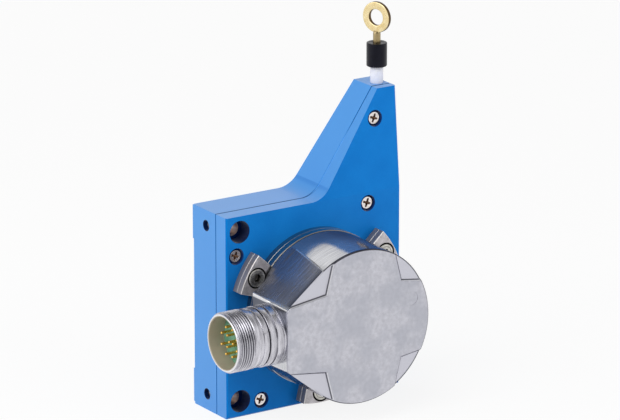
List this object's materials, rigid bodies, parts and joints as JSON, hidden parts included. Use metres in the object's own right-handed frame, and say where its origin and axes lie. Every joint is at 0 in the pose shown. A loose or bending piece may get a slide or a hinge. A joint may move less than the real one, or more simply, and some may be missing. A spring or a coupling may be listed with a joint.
{
  "type": "draw wire encoder",
  "caption": "Draw wire encoder: flat blue housing with a tapering neck, spring-loaded wire ending in a brass ring, and a round shaft encoder with a side connector.",
  "frame": {"origin": "middle of the two fixing holes on the mounting face at the back", "axes": "+Z the way the wire is pulled; +Y out of the mounting face; -Y the side of the encoder; +X from the fixing holes towards the wire"},
  "size_m": [0.0939, 0.0579, 0.1503],
  "materials": {
    "anodised_blue": "blue anodised, satin",
    "nickel_steel": "nickel plated steel",
    "bare_aluminium": "turned",
    "stainless_wire": "stranded wire",
    "turned_steel": "turned",
    "sheet_steel": "pressed sheet",
    "spring_steel": "blued strip",
    "die_cast": "grey die casting, fine grain",
    "stainless_screw": "machined",
    "cast_cap": "silver grey die casting, matt",
    "black_rubber": "matt",
    "disc_glass": "clear",
    "black_plastic": "matt",
    "board_green": "lacquered",
    "brass_plain": "turned",
    "nickel_brass": "nickel plated brass",
    "green_plastic": "moulded",
    "gold_pin": "gold plated",
    "white_plastic": "moulded",
    "felt": "felt",
    "black_sleeve": "satin",
    "brass_eye": "polished",
    "bearing_steel": "ground"
  },
  "bodies": {
    "housing": {"rear_shell": "anodised_blue", "front_shell": "anodised_blue", "shell_screws": "nickel_steel", "spring_cup": "sheet_steel", "spring_cover": "sheet_steel", "power_spring": "spring_steel", "encoder_ring": "die_cast", "encoder_flange": "die_cast", "flange_screws": "stainless_screw", "encoder_cap": "cast_cap", "cap_screws": "stainless_screw", "cap_seal": "black_rubber", "shaft_seal": "black_rubber", "lamp_block": "black_plastic", "scanning_head": "black_plastic", "circuit_board": "board_green", "board_pillars": "brass_plain", "connector_collar": "nickel_brass", "connector_shell": "nickel_brass", "connector_insert": "green_plastic", "contact_pins": "gold_pin", "wire_nozzle": "white_plastic", "wire_wiper": "felt", "shaft_bearing_outer": "bearing_steel", "shaft_bearing_shield": "black_rubber", "encoder_bearing_outers": "bearing_steel", "encoder_bearing_shields": "black_rubber"},
    "drum": {"wire_drum": "bare_aluminium", "wound_wire": "stainless_wire", "drum_shaft": "turned_steel", "spring_arbor": "turned_steel", "encoder_shaft": "turned_steel", "disc_hub": "bare_aluminium", "code_disc": "disc_glass", "shaft_bearing_inner": "bearing_steel", "encoder_bearing_inners": "bearing_steel"},
    "wire_end": {"measuring_wire": "stainless_wire", "wire_ferrule": "turned_steel", "stop_sleeve": "black_sleeve"},
    "eye": {"ring_eye": "brass_eye"}
  },
  "joints": [
    {"name": "drum_turn", "type": "hinge", "parent": "housing", "child": "drum", "pos_m": [0.0331, -0.013, -0.0006], "axis": [0, -1, 0], "range_deg": [0, 4800], "stiffness_Nm_per_rad": 0.0013, "springref_deg": -8021.41},
    {"name": "wire_pull", "type": "slide", "parent": "housing", "child": "wire_end", "axis": [0, 0, 1], "range_m": [0, 3], "deforming": ["measuring_wire"]},
    {"name": "eye_turn", "type": "hinge", "parent": "wire_end", "child": "eye", "pos_m": [0.06891, -0.0135, 0.10448], "axis": [0, 0, 1], "continuous": true}
  ],
  "couplings": [
    {"joint": "wire_pull", "follows": "drum_turn", "m_per_rad": 0.03581}
  ]
}
